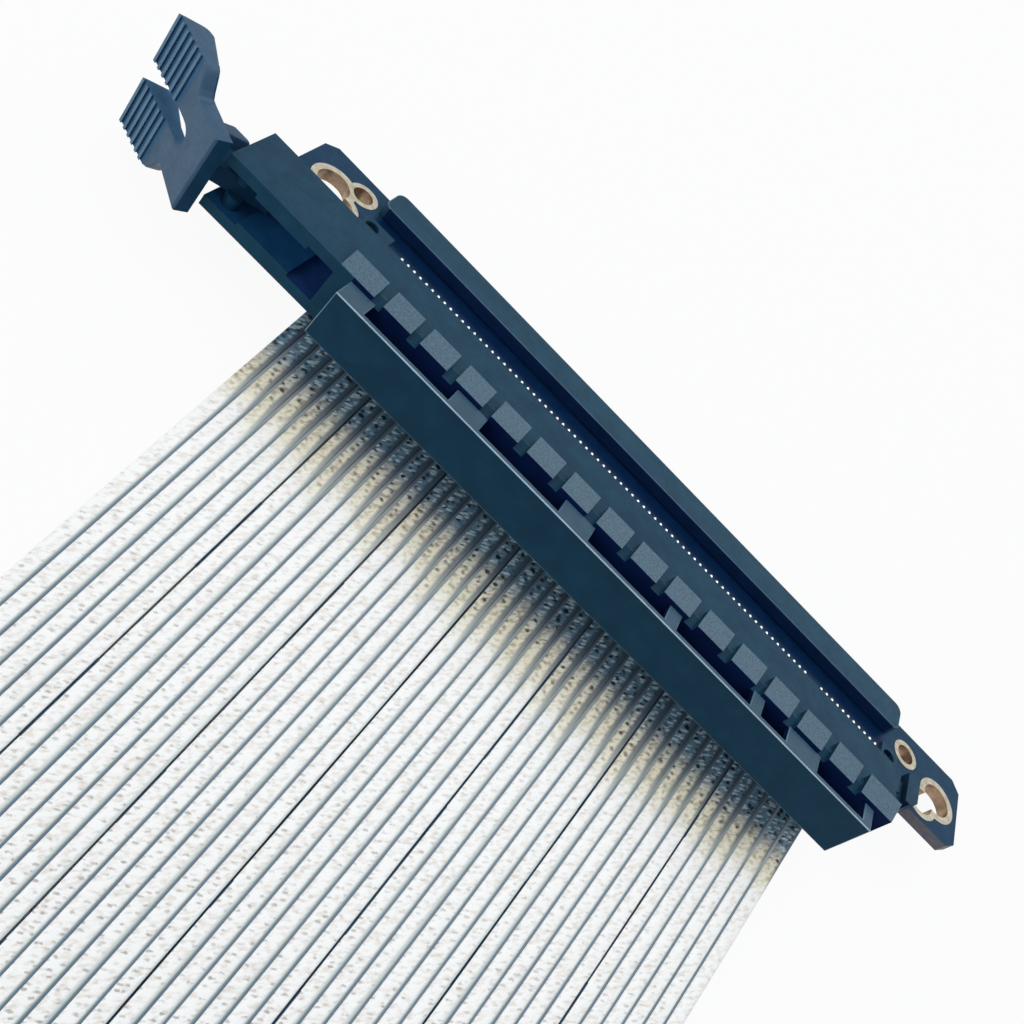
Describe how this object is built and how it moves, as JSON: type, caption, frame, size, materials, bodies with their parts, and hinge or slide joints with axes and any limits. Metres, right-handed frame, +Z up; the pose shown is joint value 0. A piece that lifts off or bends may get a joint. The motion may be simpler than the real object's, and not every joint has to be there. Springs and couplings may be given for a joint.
{
  "type": "pcie extension cable",
  "caption": "Riser cable for a sixteen-lane expansion slot: a card socket with a hinged latch on a small board, flat shielded ribbons and an edge plug.",
  "frame": {"origin": "on the table under the middle of the whole part", "axes": "+Z up from the table, +Y along the ribbons from the edge plug to the card socket, +X along the contact row away from the latch"},
  "size_m": [0.1316, 0.183, 0.0171],
  "materials": {
    "housing": "moulded navy, satin",
    "cover": "moulded navy, satin",
    "latch": "moulded navy, satin",
    "contact": "bright plated",
    "board": "black solder mask",
    "plating": "pale gold plating",
    "finger": "gold plating",
    "overmould": "soft black moulding",
    "ribbon": "pearly shield wrap under clear film"
  },
  "bodies": {
    "cable": {"slot_housing": "housing", "slot_cover": "cover", "upper_contacts": "contact", "lower_contacts": "contact", "socket_board": "board", "left_mount_plating": "plating", "right_mount_plating": "plating", "right_guide_plating": "plating", "upper_overmould": "overmould", "lower_overmould": "overmould", "plug_board": "board", "plug_upper_fingers": "finger", "plug_lower_fingers": "finger", "plug_upper_overmould": "overmould", "plug_lower_overmould": "overmould", "upper_ribbon_1": "ribbon", "upper_ribbon_2": "ribbon", "upper_ribbon_3": "ribbon", "upper_ribbon_4": "ribbon", "upper_ribbon_5": "ribbon", "upper_ribbon_6": "ribbon", "upper_ribbon_7": "ribbon", "lower_ribbon_1": "ribbon", "lower_ribbon_2": "ribbon", "lower_ribbon_3": "ribbon", "lower_ribbon_4": "ribbon", "lower_ribbon_5": "ribbon", "lower_ribbon_6": "ribbon", "lower_ribbon_7": "ribbon"},
    "latch": {"retention_latch": "latch"}
  },
  "joints": [
    {"name": "latch_hinge", "type": "hinge", "parent": "cable", "child": "latch", "pos_m": [-0.04942, 0.07261, 0.01035], "axis": [0, 0.4226, 0.9063], "range_deg": [0, 55]}
  ]
}
